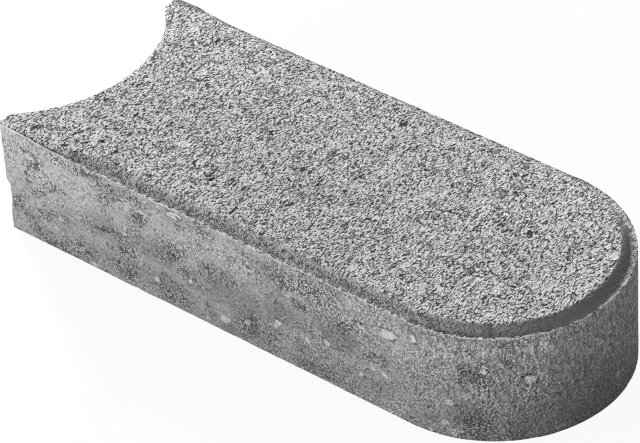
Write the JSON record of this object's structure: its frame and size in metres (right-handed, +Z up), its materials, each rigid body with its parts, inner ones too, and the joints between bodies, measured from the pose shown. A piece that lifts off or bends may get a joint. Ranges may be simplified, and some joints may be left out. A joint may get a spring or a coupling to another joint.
{
  "type": "concrete kerb stone",
  "caption": "Flat pressed concrete edging stone with a half-round nose and a matching hollow end, laid nose to hollow in a straight or curved lawn or path edge.",
  "frame": {"origin": "middle of the bounding rectangle of the flat bed that the stone lies on", "axes": "+Z up through the crown, +X towards the half-round nose, so the hollow end faces -X, and Y across the stone's width"},
  "size_m": [0.3, 0.123, 0.06],
  "materials": {
    "concrete": "rough pressed top with open grain, smoother mould faces on the walls"
  },
  "bodies": {
    "root": {"kerb_stone": "concrete"}
  },
  "joints": []
}
